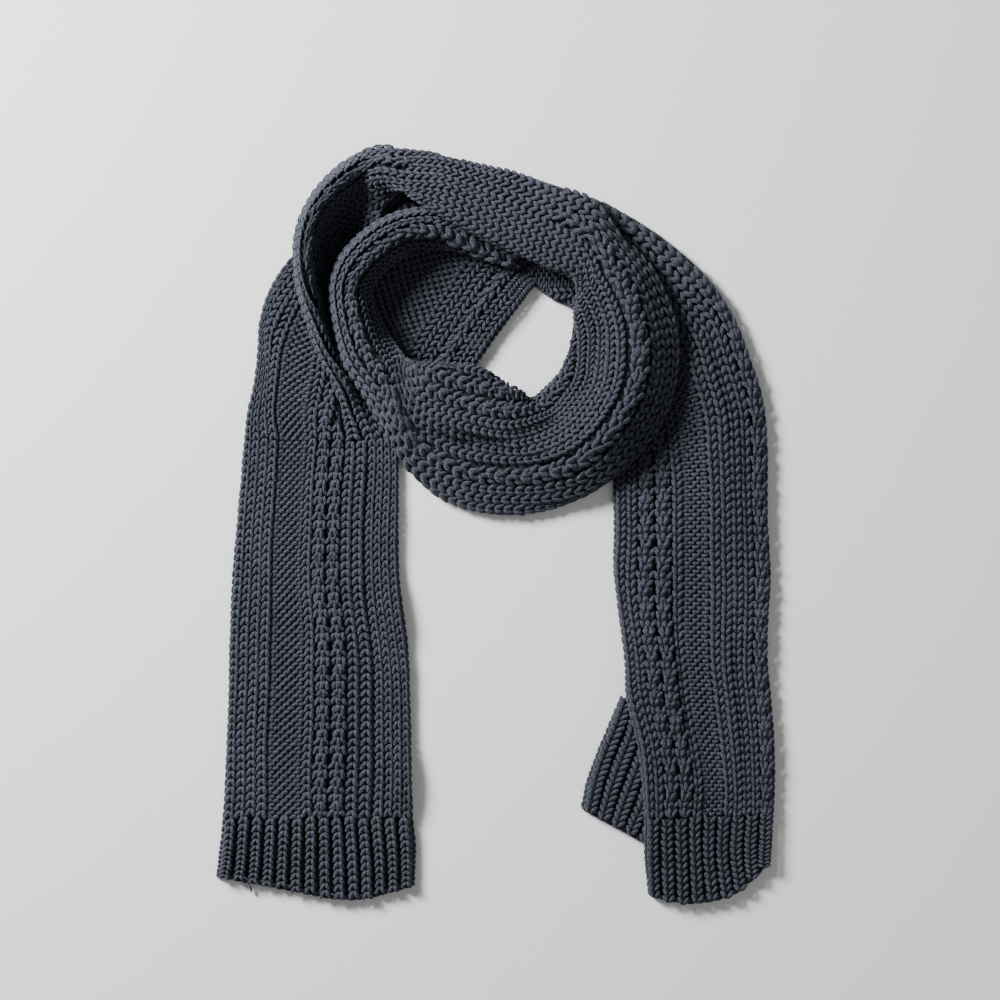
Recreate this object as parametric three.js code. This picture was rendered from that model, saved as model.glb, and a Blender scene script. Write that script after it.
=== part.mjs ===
// A chunky knitted scarf, laid flat as it comes off the neck: wound once round, two tails down.
// Millimetres, +Z up. The cloth lies on z = 0 and the origin is under the middle of the scarf.
import * as THREE from 'three';

// Thickness of the knitted cloth between its ribs, and the gap kept between two stretches
const WALL = 4.5;
const SEAM = 0.6;

// Height of the upper face where the cloth lies on the surface, and where it lies on another layer
const FLAT = WALL;
const OVER = WALL + 7.6;

// Length of one cable repeat, and the sections cut in it
const CABLE_REPEAT = 17;
const HALVES = 2;

// How far each kind of knitting stands above the cloth between the ribs
const RISE = { valley: 0, purl: 0.6, column: 1.7, rib: 2.4, cable: 2.8 };

// The strand of a cable that passes behind the other keeps this share of the rise
const BEHIND = 0.3;

// Where each kind of knitting stands proud, as shares of its width; a cable has two strands
const RIDGES = {
  valley: [],
  purl: [{ share: 0.06 }, { share: 0.5 }, { share: 0.94 }],
  column: [{ share: 0.5 }],
  rib: [{ share: 0.5 }],
  cable: [{ share: 0.3, strand: 0 }, { share: 0.7, strand: 1 }],
};

// What is tucked under at an edge is gathered within this width
const TUCK = 3;

// Yarn colour and finish
const CHARCOAL = 0x2b3038;
const ROUGHNESS = 0.95;

// The knitting from the left edge to the right edge, seen from above: kind and width of each part
const TAIL_KNIT = [
  { kind: 'rib', width: 8 },
  { kind: 'rib', width: 8 },
  { kind: 'rib', width: 8.5 },
  { kind: 'rib', width: 8.5 },
  { kind: 'purl', width: 27.5 },
  { kind: 'rib', width: 8.5 },
  { kind: 'cable', width: 12.5 },
  { kind: 'cable', width: 13 },
  { kind: 'column', width: 10.5 },
  { kind: 'column', width: 10.5 },
  { kind: 'valley', width: 1.5 },
  { kind: 'rib', width: 7.5 },
  { kind: 'rib', width: 7 },
  { kind: 'rib', width: 7 },
  { kind: 'rib', width: 6.5 },
];

const LOOP_KNIT = [
  { kind: 'rib', width: 8 },
  { kind: 'rib', width: 8 },
  { kind: 'rib', width: 8 },
  { kind: 'cable', width: 15 },
  { kind: 'valley', width: 2 },
  { kind: 'column', width: 7.5 },
  { kind: 'column', width: 7.5 },
  { kind: 'column', width: 7.5 },
  { kind: 'column', width: 7.5 },
  { kind: 'column', width: 7.5 },
  { kind: 'cable', width: 14 },
  { kind: 'cable', width: 14 },
  { kind: 'rib', width: 8 },
];

// Across the top the crossed strands and ribs run as plain columns, each in line with its rib
const TOP_KNIT = [
  { kind: 'column', width: 8 },
  { kind: 'column', width: 8 },
  { kind: 'column', width: 8 },
  { kind: 'column', width: 8.5 },
  { kind: 'column', width: 8.5 },
  { kind: 'column', width: 7.5 },
  { kind: 'column', width: 7.5 },
  { kind: 'column', width: 7.5 },
  { kind: 'column', width: 7.5 },
  { kind: 'column', width: 7.5 },
  { kind: 'column', width: 7 },
  { kind: 'column', width: 7 },
  { kind: 'column', width: 7 },
  { kind: 'column', width: 7 },
  { kind: 'column', width: 8 },
];

const TAIL_RIGHT_KNIT = [
  { kind: 'cable', width: 12 },
  { kind: 'rib', width: 8 },
  { kind: 'rib', width: 8.5 },
  { kind: 'rib', width: 8.5 },
  { kind: 'rib', width: 8.5 },
  { kind: 'purl', width: 20 },
  { kind: 'rib', width: 8 },
  { kind: 'cable', width: 13 },
  { kind: 'cable', width: 13 },
  { kind: 'rib', width: 8 },
  { kind: 'rib', width: 8 },
];

const FLOOR_KNIT = [
  { kind: 'purl', width: 75 },
  { kind: 'rib', width: 9 },
  { kind: 'rib', width: 9 },
  { kind: 'cable', width: 12 },
  { kind: 'rib', width: 8 },
  { kind: 'rib', width: 8 },
];

// The hems are ribbed in their whole width. Nine ribs show on the right tail and five on its
// folded corner, where the hem spreads a little.
const HEM_LEFT_KNIT = Array(14).fill({ kind: 'rib', width: 10 });
const HEM_RIGHT_KNIT = Array(9).fill({ kind: 'rib', width: 11 });
const FLAP_KNIT = Array(5).fill({ kind: 'rib', width: 12 });

// Sections across the cloth, in the order in which it runs. Each column is a point on the upper
// face, [x, y, z], from the left edge to the right edge of the cloth as it runs. A point with no
// height lies FLAT, and a row with only its two edges is a straight section.
const TAIL_LEFT = [
  { left: [-209, -264], inLeft: [-160, -273], inRight: [-108, -281], right: [-62, -271] },
  { left: [-206, -240], right: [-61, -242] },
  { left: [-204, -220], right: [-63, -220] },
  { left: [-202, -185], right: [-64, -185] },
  { left: [-200, -137], right: [-65, -137] },
  { left: [-199, -89], right: [-67, -89] },
  { left: [-197, -41], right: [-73, -41] },
  { left: [-193, 6], right: [-74, 6] },
  { left: [-190, 40], right: [-74, 40] },
  { left: [-188, 63], right: [-74, 63] },
];

const TAIL_FOLD = [
  { left: [-188, 63.3], inLeft: [-163, 63.3], inRight: [-138, 63.3], right: [-113.5, 63.3] },
  { left: [-186, 82], inLeft: [-168, 82], inRight: [-144, 82], right: [-116.5, 82] },
  { left: [-181, 106], inLeft: [-169, 105], inRight: [-145, 103], right: [-117, 100] },
  { left: [-178, 130], inLeft: [-170, 129], inRight: [-150, 127], right: [-129, 123] },
  { left: [-177, 150], inLeft: [-171, 149], inRight: [-153, 147], right: [-137, 143] },
  { left: [-171, 171], inLeft: [-166, 170], inRight: [-153, 167], right: [-141, 164] },
  { left: [-162, 188], inLeft: [-158, 187], inRight: [-150, 184], right: [-143, 182] },
  { left: [-152, 201], inLeft: [-150, 200], inRight: [-147, 196], right: [-144, 194] },
];

const LOOP = [
  { left: [-113, 63.3], inLeft: [-93, 63.3], inRight: [-84, 63.3], right: [-74, 63.3] },
  { left: [-115, 82, 6], inLeft: [-104, 84, 9], inRight: [-94, 86], right: [-84, 88] },
  { left: [-119, 101, OVER], inLeft: [-113, 104, 16], inRight: [-106, 107], right: [-97, 111] },
  { left: [-131, 126, OVER], inLeft: [-126, 129, 21], inRight: [-119, 132, 5], right: [-110, 136] },
  { left: [-140, 150, OVER], inLeft: [-134, 153, 26], inRight: [-126, 156, 5], right: [-114, 159] },
  { left: [-146, 172, OVER], inLeft: [-140, 173, 30], inRight: [-130, 174, 5], right: [-115, 176] },
  { left: [-149, 193, OVER], inLeft: [-143, 192, 32], inRight: [-132, 190, 6], right: [-111, 188] },
  { left: [-149, 213, 10], inLeft: [-142, 211, 32], inRight: [-131, 206, 6], right: [-106, 197] },
  { left: [-143, 235], inLeft: [-136, 230, 32], inRight: [-126, 222, 6], right: [-101, 204] },
  { left: [-132, 253], inLeft: [-126, 246, 31], inRight: [-117, 236, 8], right: [-95, 214] },
  { left: [-114, 270], inLeft: [-110, 261, 29], inRight: [-104, 249, 13], right: [-86, 229, 12] },
  { left: [-90, 282], inLeft: [-90, 272, 20], inRight: [-90, 261, 28], right: [-78, 244, 12] },
  { left: [-64, 280], inLeft: [-66, 268, 20], inRight: [-68, 255, 33], right: [-66, 245, 36] },
  { left: [-37, 276], inLeft: [-38, 261, 20], inRight: [-40, 246, 33], right: [-42, 231, 38] },
  { left: [-10, 269], inLeft: [-9, 251, 19], inRight: [-9, 233, 31], right: [-10, 214, 36] },
  { left: [16, 263, 7], inLeft: [17, 242, 20], inRight: [16, 222, 30], right: [15, 202, 33] },
  { left: [45, 253, OVER], inLeft: [44, 231, 23], inRight: [41, 210, 30], right: [38, 191, 30] },
  { left: [74, 241, OVER], inLeft: [70, 219, 25], inRight: [65, 199, 30], right: [59, 181, 26] },
  { left: [98, 211, OVER], inLeft: [87, 199, 27], inRight: [74, 185, 30], right: [60, 170, 21] },
  { left: [119, 186, OVER], inLeft: [101, 178, 28], inRight: [79, 168, 29], right: [58, 158, 17] },
  { left: [133, 155, 15], inLeft: [108, 152, 29], inRight: [82, 149, 27], right: [57, 144, 15] },
  { left: [136, 122, 15], inLeft: [109, 124, 30], inRight: [80, 127, 25], right: [54, 128, 14] },
  { left: [130, 92, 14], inLeft: [103, 98, 30], inRight: [75, 106, 24], right: [48, 115, 14] },
  { left: [117, 66, OVER], inLeft: [90, 77, 29], inRight: [63, 91, 22], right: [38, 104, 14] },
  { left: [96, 41, OVER], inLeft: [72, 59, 27], inRight: [48, 78, 19], right: [27, 95, 16] },
  { left: [70, 22, 8], inLeft: [52, 48, 22], inRight: [34, 73, 21], right: [18, 98, 20] },
  { left: [37, 10], inLeft: [25, 41, 17], inRight: [14, 72, 24], right: [4, 108, 25] },
  { left: [7, 7], inLeft: [0, 42, 15], inRight: [-7, 78, 24], right: [-14, 117, 28] },
  { left: [-20, 11], inLeft: [-24, 46, 14], inRight: [-29, 82, 24], right: [-33, 119, 29] },
  { left: [-44, 21], inLeft: [-45, 55, 15], inRight: [-47, 88, 26], right: [-49, 120, 28] },
  { left: [-63, 37, 8], inLeft: [-61, 66, 18], inRight: [-60, 94, 28], right: [-60, 121, 26] },
  { left: [-76, 56, OVER], inLeft: [-72, 79, 24], inRight: [-69, 101, 30], right: [-66, 124, 25] },
  { left: [-88, 79, OVER], inLeft: [-82, 95, 28], inRight: [-77, 112, 32], right: [-72, 130, 22] },
  { left: [-99, 98, OVER], inLeft: [-92, 109, 31], inRight: [-84, 121, 33], right: [-77, 137, 18] },
  { left: [-111, 117, OVER], inLeft: [-103, 124, 33], inRight: [-92, 132, 33], right: [-81, 143, 15] },
  { left: [-118, 138, OVER], inLeft: [-110, 142, 34], inRight: [-98, 147, 33], right: [-86, 153, OVER] },
  { left: [-122, 159, OVER], inLeft: [-114, 160, 34], inRight: [-102, 162, 33], right: [-89, 164, OVER] },
  { left: [-123, 180, OVER], inLeft: [-115, 178, 34], inRight: [-104, 175, 32], right: [-91, 173, OVER] },
  { left: [-117, 197, OVER], inLeft: [-110, 192, 34], inRight: [-100, 185, 32], right: [-89, 179, OVER] },
  { left: [-106, 211, OVER], inLeft: [-101, 204, 33], inRight: [-92, 195, 31], right: [-83, 187, OVER] },
  { left: [-91, 223, OVER], inLeft: [-87, 216, 32], inRight: [-80, 206, 30], right: [-74, 196, OVER] },
  { left: [-74, 231, OVER], inLeft: [-71, 224, 30], inRight: [-66, 215, 28], right: [-60, 203, OVER] },
  { left: [-52, 235, OVER], inLeft: [-50, 228, 26], inRight: [-46, 218, 26], right: [-41, 205, OVER] },
  { left: [-30, 232, OVER], inLeft: [-28, 226, 20], inRight: [-24, 214, 22], right: [-20, 200, OVER] },
  { left: [-8, 225, OVER], inLeft: [-5, 218, 16], inRight: [-2, 207, 18], right: [1, 195, OVER] },
  { left: [12, 218, OVER], inLeft: [14, 211, 13], inRight: [16, 201, 13], right: [18, 190, OVER] },
];

const RING_FLOOR = [
  { left: [-66, 112], right: [-24, 108] },
  { left: [-86, 146], right: [-16, 119] },
  { left: [-97, 176], right: [-4, 136] },
  { left: [-88, 208], right: [9, 154] },
  { left: [-84, 234], right: [19, 167] },
  { left: [-50, 258], right: [25, 175] },
  { left: [16.3, 240], right: [28.8, 179] },
];

const SHOULDER = [
  { left: [17, 243], right: [29.5, 179] },
  { left: [48, 248], right: [41, 170] },
  { left: [74, 243], right: [57, 162] },
  { left: [101, 229], right: [66, 151] },
  { left: [128, 211], right: [70, 137] },
  { left: [156, 186], inLeft: [128, 163, 8], inRight: [100, 143], right: [72, 122] },
  { left: [176, 158], inLeft: [148, 140, 8], inRight: [110, 122], right: [75, 104] },
  { left: [190, 124], inLeft: [154, 112, 9], inRight: [117, 98], right: [79, 84] },
  { left: [200, 91], inLeft: [163, 83, 9], inRight: [124, 73], right: [84, 62] },
  { left: [203, 53], inLeft: [166, 50, 9], inRight: [127, 46], right: [88, 41] },
  { left: [203, 5], inLeft: [166, 5, 8], inRight: [128, 4], right: [89, 3] },
  { left: [205, -42], right: [89, -36] },
  { left: [203, -75], right: [93, -70] },
  { left: [203, -106], inLeft: [168, -105], inRight: [132, -104, 6], right: [97, -103, 7] },
  { left: [206, -137], inLeft: [171, -136], inRight: [135, -134, 7], right: [98.5, -128, OVER] },
  { left: [208, -172], inLeft: [175, -171], inRight: [141, -169, 7], right: [107, -166, OVER] },
  { left: [208, -200], inLeft: [176, -200], inRight: [144, -200, 7], right: [111, -200, OVER] },
  { left: [207, -218], inLeft: [175, -219], inRight: [143, -220, 7], right: [112, -221, OVER] },
  { left: [206, -238], inLeft: [174, -246], inRight: [144, -250, 7], right: [112, -247, 11] },
  { left: [205, -254], inLeft: [178, -277], inRight: [146, -284], right: [115, -279] },
];

const FLAP = [
  { left: [104, -139], right: [94, -129] },
  { left: [110, -162], right: [86, -148] },
  { left: [114, -186], right: [77, -169] },
  { left: [117, -214], right: [69, -191] },
  { left: [116, -241], right: [64, -213] },
];

// Soft creases and swellings that run along the cloth: the rows between which each lies, its place
// across the cloth (0 left edge, 1 right edge) where it starts and ends, its half width and height
const TAIL_LEFT_CREASES = [
  { from: 2, to: 9, startAt: 0.79, endAt: 0.81, half: 0.03, rise: -2.2 },
  { from: 2.2, to: 3.6, startAt: 0.95, endAt: 0.96, half: 0.05, rise: 4.5 },
  { from: 2.2, to: 3.6, startAt: 0.87, endAt: 0.88, half: 0.035, rise: -2.4 },
  { from: 5, to: 6.2, startAt: 0.95, endAt: 0.95, half: 0.06, rise: 4 },
  { from: 5, to: 6.4, startAt: 0.88, endAt: 0.87, half: 0.03, rise: -2 },
  { from: 2.5, to: 7, startAt: 0.56, endAt: 0.5, half: 0.08, rise: 1.6 },
];

const LOOP_CREASES = [
  { from: 17, to: 24, startAt: 0.46, endAt: 0.5, half: 0.16, rise: 3 },
  { from: 18, to: 24, startAt: 0.74, endAt: 0.72, half: 0.05, rise: -1.8 },
  { from: 23, to: 27, startAt: 0.8, endAt: 0.94, half: 0.06, rise: -1.6 },
  { from: 24, to: 31, startAt: 0.66, endAt: 0.72, half: 0.12, rise: 2.5 },
  { from: 25, to: 30, startAt: 0.5, endAt: 0.44, half: 0.05, rise: -1.8 },
  { from: 33, to: 42, startAt: 0.5, endAt: 0.5, half: 0.05, rise: -2 },
];

const SHOULDER_CREASES = [
  { from: 4, to: 10, startAt: 0.2, endAt: 0.16, half: 0.06, rise: -1.8 },
  { from: 10, to: 17, startAt: 0.63, endAt: 0.62, half: 0.03, rise: -2 },
  { from: 11, to: 16.5, startAt: 0.34, endAt: 0.28, half: 0.07, rise: 1.8 },
];

// What shows where a stretch isn't seen in its whole width: at a row, the part of its knitting that
// shows, in mm from the left edge. The rest is tucked under at the sides.
const TAIL_FOLD_SHOWN = [
  { row: 0, from: 0, to: 94.5 },
  { row: 2, from: 0, to: 81 },
  { row: 4, from: 0, to: 52 },
  { row: 7, from: 0, to: 14 },
];

const LOOP_SHOWN = [
  { row: 0, from: 0, to: 39 },
  { row: 2, from: 0, to: 32 },
  { row: 4, from: 0, to: 51 },
  { row: 8, from: 0, to: 90 },
  { row: 9, from: 0, to: 87 },
  { row: 10, from: 2, to: 78 },
  { row: 11, from: 8, to: 67 },
  { row: 12, from: 15, to: 65 },
  { row: 13, from: 20, to: 78 },
  { row: 16, from: 12, to: 78 },
  { row: 18, from: 4, to: 68 },
  { row: 19, from: 0, to: 76 },
  { row: 23, from: 0, to: 95 },
  { row: 25, from: 6, to: 101 },
  { row: 27, from: 0, to: 114 },
  { row: 29, from: 2, to: 106 },
  { row: 30, from: 6, to: 94 },
  { row: 32, from: 0, to: 63 },
  { row: 39, from: 0, to: 59 },
  { row: 42, from: 0, to: 47 },
  { row: 45, from: 0, to: 29 },
];

const RING_FLOOR_SHOWN = [
  { row: 0, from: 79, to: 121 },
  { row: 1, from: 46, to: 121 },
  { row: 2, from: 20, to: 121 },
  { row: 4, from: 0, to: 121 },
  { row: 5, from: 9, to: 121 },
  { row: 6, from: 59, to: 121 },
];

const SHOULDER_SHOWN = [
  { row: 0, from: 0, to: 63 },
  { row: 2, from: 0, to: 80 },
  { row: 3, from: 0, to: 83 },
  { row: 7, from: 0, to: 116 },
  { row: 10, from: 0, to: 116 },
];

const FLAP_SHOWN = [
  { row: 0, from: 46, to: 60 },
  { row: 4, from: 0, to: 60 },
];

// The runs of cloth: their sections and creases
const runs = {
  tailLeft: { rows: TAIL_LEFT, creases: TAIL_LEFT_CREASES },
  tailFold: { rows: TAIL_FOLD, creases: [] },
  loop: { rows: LOOP, creases: LOOP_CREASES },
  ringFloor: { rows: RING_FLOOR, creases: [] },
  shoulder: { rows: SHOULDER, creases: SHOULDER_CREASES },
  flap: { rows: FLAP, creases: [] },
};

// Stretches of the one knitted strip: the run that each is part of, the rows where it starts and
// ends and what shows on its upper side
const loopPart = { run: runs.loop, knit: LOOP_KNIT, shown: LOOP_SHOWN };
const floorPart = { run: runs.ringFloor, knit: FLOOR_KNIT, shown: RING_FLOOR_SHOWN };
const shoulderPart = { run: runs.shoulder, knit: TAIL_RIGHT_KNIT, shown: SHOULDER_SHOWN };
const STRETCHES = [
  { name: 'hem_left', run: runs.tailLeft, from: 0, to: 2, knit: HEM_LEFT_KNIT },
  { name: 'tail_left', run: runs.tailLeft, from: 2, to: 9, knit: TAIL_KNIT },
  { name: 'tail_fold', run: runs.tailFold, from: 0, to: 7, knit: TAIL_KNIT, shown: TAIL_FOLD_SHOWN },
  { name: 'outer_turn', ...loopPart, from: 0, to: 12 },
  { name: 'top_band', ...loopPart, from: 12, to: 16, knit: TOP_KNIT },
  { name: 'right_band', ...loopPart, from: 16, to: 23 },
  { name: 'front_band', ...loopPart, from: 23, to: 30 },
  { name: 'inner_ring', ...loopPart, from: 30, to: 45 },
  { name: 'ring_floor', ...floorPart, from: 0, to: 6 },
  { name: 'shoulder_right', ...shoulderPart, from: 0, to: 10 },
  { name: 'tail_right', run: runs.shoulder, from: 10, to: 17, knit: TAIL_RIGHT_KNIT },
  { name: 'hem_right', run: runs.shoulder, from: 17, to: 19, knit: HEM_RIGHT_KNIT },
  { name: 'flap_right', run: runs.flap, from: 0, to: 4, knit: FLAP_KNIT, shown: FLAP_SHOWN },
];

// Underside columns of every wall
const UNDERSIDE = [0, 0.17, 0.33, 0.5, 0.67, 0.83, 1];

// The smallest step used to measure a slope, and the places measured between two rows
const STEP = 1e-3;
const MEASURES = 24;

const point = ([x, y, z = FLAT]) => new THREE.Vector3(x, y, z);
const curve = (points) => new THREE.CatmullRomCurve3(points, false, 'centripetal');

// The upper face of a run of cloth: along from 0 to its last row, across from 0 to 1
function faceOf(table) {
  const columns = { left: 0, inLeft: 1 / 3, inRight: 2 / 3, right: 1 };
  const lines = Object.entries(columns).map(([column, share]) => curve(table.map((row) => {
    const straight = point(row.left).lerp(point(row.right), share);
    return row[column] ? point(row[column]) : straight;
  })));
  const last = table.length - 1;
  return (along, across) => curve(lines.map((line) => line.getPoint(along / last))).getPoint(across);
}

// The direction straight out of the cloth
function outOf(face, last, along, across) {
  const near = (value, top) => [Math.max(value - STEP, 0), Math.min(value + STEP, top)];
  const [back, ahead] = near(along, last);
  const [leftward, rightward] = near(across, 1);
  const alongCloth = face(ahead, across).sub(face(back, across));
  const acrossCloth = face(along, rightward).sub(face(along, leftward));
  return acrossCloth.cross(alongCloth).normalize();
}

// How far along the cloth each of many close places lies
function measure(face, from, to) {
  const total = Math.round((to - from) * MEASURES);
  const samples = [{ along: from, length: 0 }];
  for (let i = 1; i <= total; i += 1) {
    const along = from + ((to - from) * i) / total;
    const before = samples[i - 1];
    const run = face(along, 0.5).distanceTo(face(before.along, 0.5));
    samples.push({ along, length: before.length + run });
  }
  return samples;
}

// Places along a stretch at equal lengths of cloth, with half a seam left free at either end
function placesAlong(samples, count) {
  const whole = samples[samples.length - 1].length;
  const wanted = (i) => SEAM / 2 + ((whole - SEAM) * i) / count;
  return Array.from({ length: count + 1 }, (_, i) => {
    const next = samples.findIndex((sample) => sample.length >= wanted(i));
    const [a, b] = [samples[next - 1], samples[next]];
    return THREE.MathUtils.mapLinear(wanted(i), a.length, b.length, a.along, b.along);
  });
}

const knitWidth = (knit) => knit.reduce((sum, part) => sum + part.width, 0);

// Columns of points on the upper side: distance from the left edge of the knitting, rise, and the
// cable strand that it follows
function columnsOf(knit) {
  const columns = [];
  let start = 0;
  for (const { kind, width } of knit) {
    columns.push({ at: start, rise: 0 });
    for (const { share, strand } of RIDGES[kind]) {
      columns.push({ at: start + width * share, rise: RISE[kind], strand });
    }
    start += width;
  }
  columns.push({ at: start, rise: 0 });
  return columns;
}

// The part of the knitting that shows at a place along
function shownAt(shown, along, whole) {
  if (!shown) return [0, whole];
  const next = Math.max(1, shown.findIndex((entry) => entry.row >= along));
  const [a, b] = [shown[next - 1], shown[next]];
  const share = (along - a.row) / (b.row - a.row);
  return [THREE.MathUtils.lerp(a.from, b.from, share), THREE.MathUtils.lerp(a.to, b.to, share)];
}

// The place across the cloth of a column, and whether it is tucked in at an edge
function placeAcross(at, [from, to], whole) {
  const [first, last] = [from > 0 ? from + TUCK : 0, to < whole ? to - TUCK : whole];
  const share = (value) => (value - from) / (to - from);
  if (at < first) return { across: share(first) * (at / first), tucked: true };
  if (at > last) {
    const beyond = (at - last) / (whole - last);
    return { across: share(last) + (1 - share(last)) * beyond, tucked: true };
  }
  return { across: share(at), tucked: false };
}

function creaseRise(creases, along, across) {
  return creases.reduce((sum, crease) => {
    const share = (along - crease.from) / (crease.to - crease.from);
    if (share <= 0 || share >= 1) return sum;
    const middle = THREE.MathUtils.lerp(crease.startAt, crease.endAt, share);
    const off = (across - middle) / crease.half;
    return sum + crease.rise * Math.sin(Math.PI * share) * Math.exp(-off * off);
  }, 0);
}

// Triangles between two neighbouring columns; a cable column has twice the points of the others
function zip(indices, a, b) {
  const count = Math.max(a.length, b.length) - 1;
  const pick = (column, i) => column[Math.floor((i * (column.length - 1)) / count)];
  for (let i = 0; i < count; i += 1) {
    const [a0, a1, b0, b1] = [pick(a, i), pick(a, i + 1), pick(b, i), pick(b, i + 1)];
    if (b0 !== b1) indices.push(a0, b0, b1);
    if (a0 !== a1) indices.push(a0, b1, a1);
  }
}

// The flat end of a wall, between its upper and its under columns
function cap(indices, upper, under, front) {
  const endOf = (values) => (front ? values[0] : values[values.length - 1]);
  const add = (a, b, c) => indices.push(...(front ? [a, b, c] : [a, c, b]));
  let i = 0;
  let j = 0;
  while (i < upper.length - 1 || j < under.length - 1) {
    const upperNext = i < upper.length - 1 ? endOf(upper[i + 1].shares) : Infinity;
    const underNext = j < under.length - 1 ? endOf(under[j + 1].shares) : Infinity;
    const [a, b] = [endOf(upper[i].points), endOf(under[j].points)];
    if (upperNext <= underNext) {
      i += 1;
      add(a, b, endOf(upper[i].points));
    } else {
      j += 1;
      add(a, b, endOf(under[j].points));
    }
  }
}

function wallGeometry({ run, from, to, knit, shown }) {
  const face = faceOf(run.rows);
  const last = run.rows.length - 1;
  const samples = measure(face, from, to);
  const repeats = Math.max(1, Math.round(samples[samples.length - 1].length / CABLE_REPEAT));
  const fine = placesAlong(samples, repeats * HALVES);
  const coarse = fine.filter((_, i) => i % HALVES === 0);
  const whole = knitWidth(knit);
  const positions = [];
  const place = (along, across, rise) => {
    const squared = along === fine[0] ? from : along === fine[fine.length - 1] ? to : along;
    const at = face(along, across).addScaledVector(outOf(face, last, squared, across), rise);
    positions.push(at.x, at.y, Math.max(at.z, 0));
    return positions.length / 3 - 1;
  };
  const upper = columnsOf(knit).map(({ at, rise, strand }) => {
    const rows = strand === undefined ? coarse : fine;
    const column = { shares: [], points: [] };
    rows.forEach((along, i) => {
      const { across, tucked } = placeAcross(at, shownAt(shown, along, whole), whole);
      const share = strand === undefined || i % HALVES === strand ? 1 : BEHIND;
      const height = (tucked ? 0 : rise * share) + creaseRise(run.creases, along, across);
      column.shares.push(across);
      column.points.push(place(along, across, height));
    });
    return column;
  });
  const under = UNDERSIDE.map((across) => {
    return { shares: [across], points: coarse.map((along) => place(along, across, -WALL)) };
  });
  const around = [...upper, ...[...under].reverse()];
  const indices = [];
  around.forEach((column, i) => {
    zip(indices, column.points, around[(i + 1) % around.length].points);
  });
  cap(indices, upper, under, true);
  cap(indices, upper, under, false);
  const geometry = new THREE.BufferGeometry();
  geometry.setAttribute('position', new THREE.Float32BufferAttribute(positions, 3));
  geometry.setIndex(indices);
  geometry.computeVertexNormals();
  return geometry;
}

function knittedMesh(stretch) {
  const yarn = new THREE.MeshStandardMaterial({ color: CHARCOAL, roughness: ROUGHNESS, metalness: 0 });
  const mesh = new THREE.Mesh(wallGeometry(stretch), yarn);
  mesh.name = stretch.name;
  return mesh;
}

const group = new THREE.Group();
STRETCHES.forEach((stretch) => group.add(knittedMesh(stretch)));

export default group;
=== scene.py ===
# %% [markdown]
# A chunky cable and rib knit scarf, laid flat as it comes off the neck: one knitted strip, wound
# once round, with its two tails down. Knitting is stitches in columns, so the scene makes it in two
# layers. A thin cloth gives each stretch its folds, ribs and cables, and on it lie the stitches,
# one small loop of yarn each, which Geometry Nodes set along the columns.

# %% Frame
import math

import bpy
import numpy as np
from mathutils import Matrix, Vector


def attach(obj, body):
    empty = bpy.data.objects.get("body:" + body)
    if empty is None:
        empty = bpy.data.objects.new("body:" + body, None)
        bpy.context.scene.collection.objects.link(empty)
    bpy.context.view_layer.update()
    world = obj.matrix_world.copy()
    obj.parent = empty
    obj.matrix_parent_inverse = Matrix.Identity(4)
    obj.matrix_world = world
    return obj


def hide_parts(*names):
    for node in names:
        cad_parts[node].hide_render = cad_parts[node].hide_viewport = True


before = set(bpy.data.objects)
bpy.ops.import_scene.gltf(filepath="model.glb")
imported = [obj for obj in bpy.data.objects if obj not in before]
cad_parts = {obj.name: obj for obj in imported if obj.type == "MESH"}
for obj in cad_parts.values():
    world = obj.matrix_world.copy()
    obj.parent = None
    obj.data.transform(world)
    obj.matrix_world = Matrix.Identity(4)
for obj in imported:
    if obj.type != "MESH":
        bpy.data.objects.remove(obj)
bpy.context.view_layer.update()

# %% [markdown]
# A knitter thinks in widths of columns and heights of rows, so these sizes come first. They are
# millimetres, as on the solids, and METRE turns them into Blender's units at the last step.

# %% Sizes
METRE = 0.001
WALL = 4.5
FLAT = WALL
OVER = WALL + 7.6
ROW = 6.0
HEM_ROW = 5.3
PURL_COLUMN = 7.0
CABLE_TURN = 34.0
RISE = {"valley": -1.0, "purl": 0.2, "column": 1.2, "rib": 2.0, "hem": 2.8, "cable": 2.9}
GROOVE = {"rib": 0.5, "hem": 1.2, "cable": 0.6}
print("rows to 10 cm:", round(100 / ROW), "and in the hems:", round(100 / HEM_ROW))

# %% [markdown]
# What a knitter reads from a chart, from the left edge to the right: ribs are raised single
# columns, columns are plain knit ones, cables are two strands that cross, purl is the bumpy reverse
# side, and a hem is ribbed all over. The widths are relaxed ones, in millimetres, and each stretch
# fits them to the width it has.

# %% Knitting chart
def knitted(kind, *widths):
    return [dict(kind=kind, width=width) for width in widths]


TAIL_KNIT = (knitted("rib", 8, 8, 8.5, 8.5) + knitted("purl", 27.5) + knitted("rib", 8.5)
             + knitted("cable", 12.5, 13) + knitted("column", 10.5, 10.5) + knitted("valley", 1.5)
             + knitted("rib", 7.5, 7, 7, 6.5))
LOOP_KNIT = (knitted("rib", 8, 8, 8) + knitted("cable", 15) + knitted("valley", 2)
             + knitted("column", 7.5) * 5 + knitted("cable", 14, 14) + knitted("rib", 8))
TOP_KNIT = knitted("column", 8, 8, 8, 8.5, 8.5, 7.5, 7.5, 7.5, 7.5, 7.5, 7, 7, 7, 7, 8)
TAIL_RIGHT_KNIT = (knitted("cable", 12) + knitted("rib", 8, 8.5, 8.5, 8.5) + knitted("purl", 20)
                   + knitted("rib", 8) + knitted("cable", 13, 13) + knitted("rib", 8, 8))
FLOOR_KNIT = knitted("purl", 75) + knitted("rib", 9, 9) + knitted("cable", 12) + knitted("rib", 8, 8)
HEM_LEFT_KNIT = knitted("hem", 10) * 14
HEM_RIGHT_KNIT = knitted("hem", 11) * 9
FLAP_KNIT = knitted("hem", 12) * 5
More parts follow.
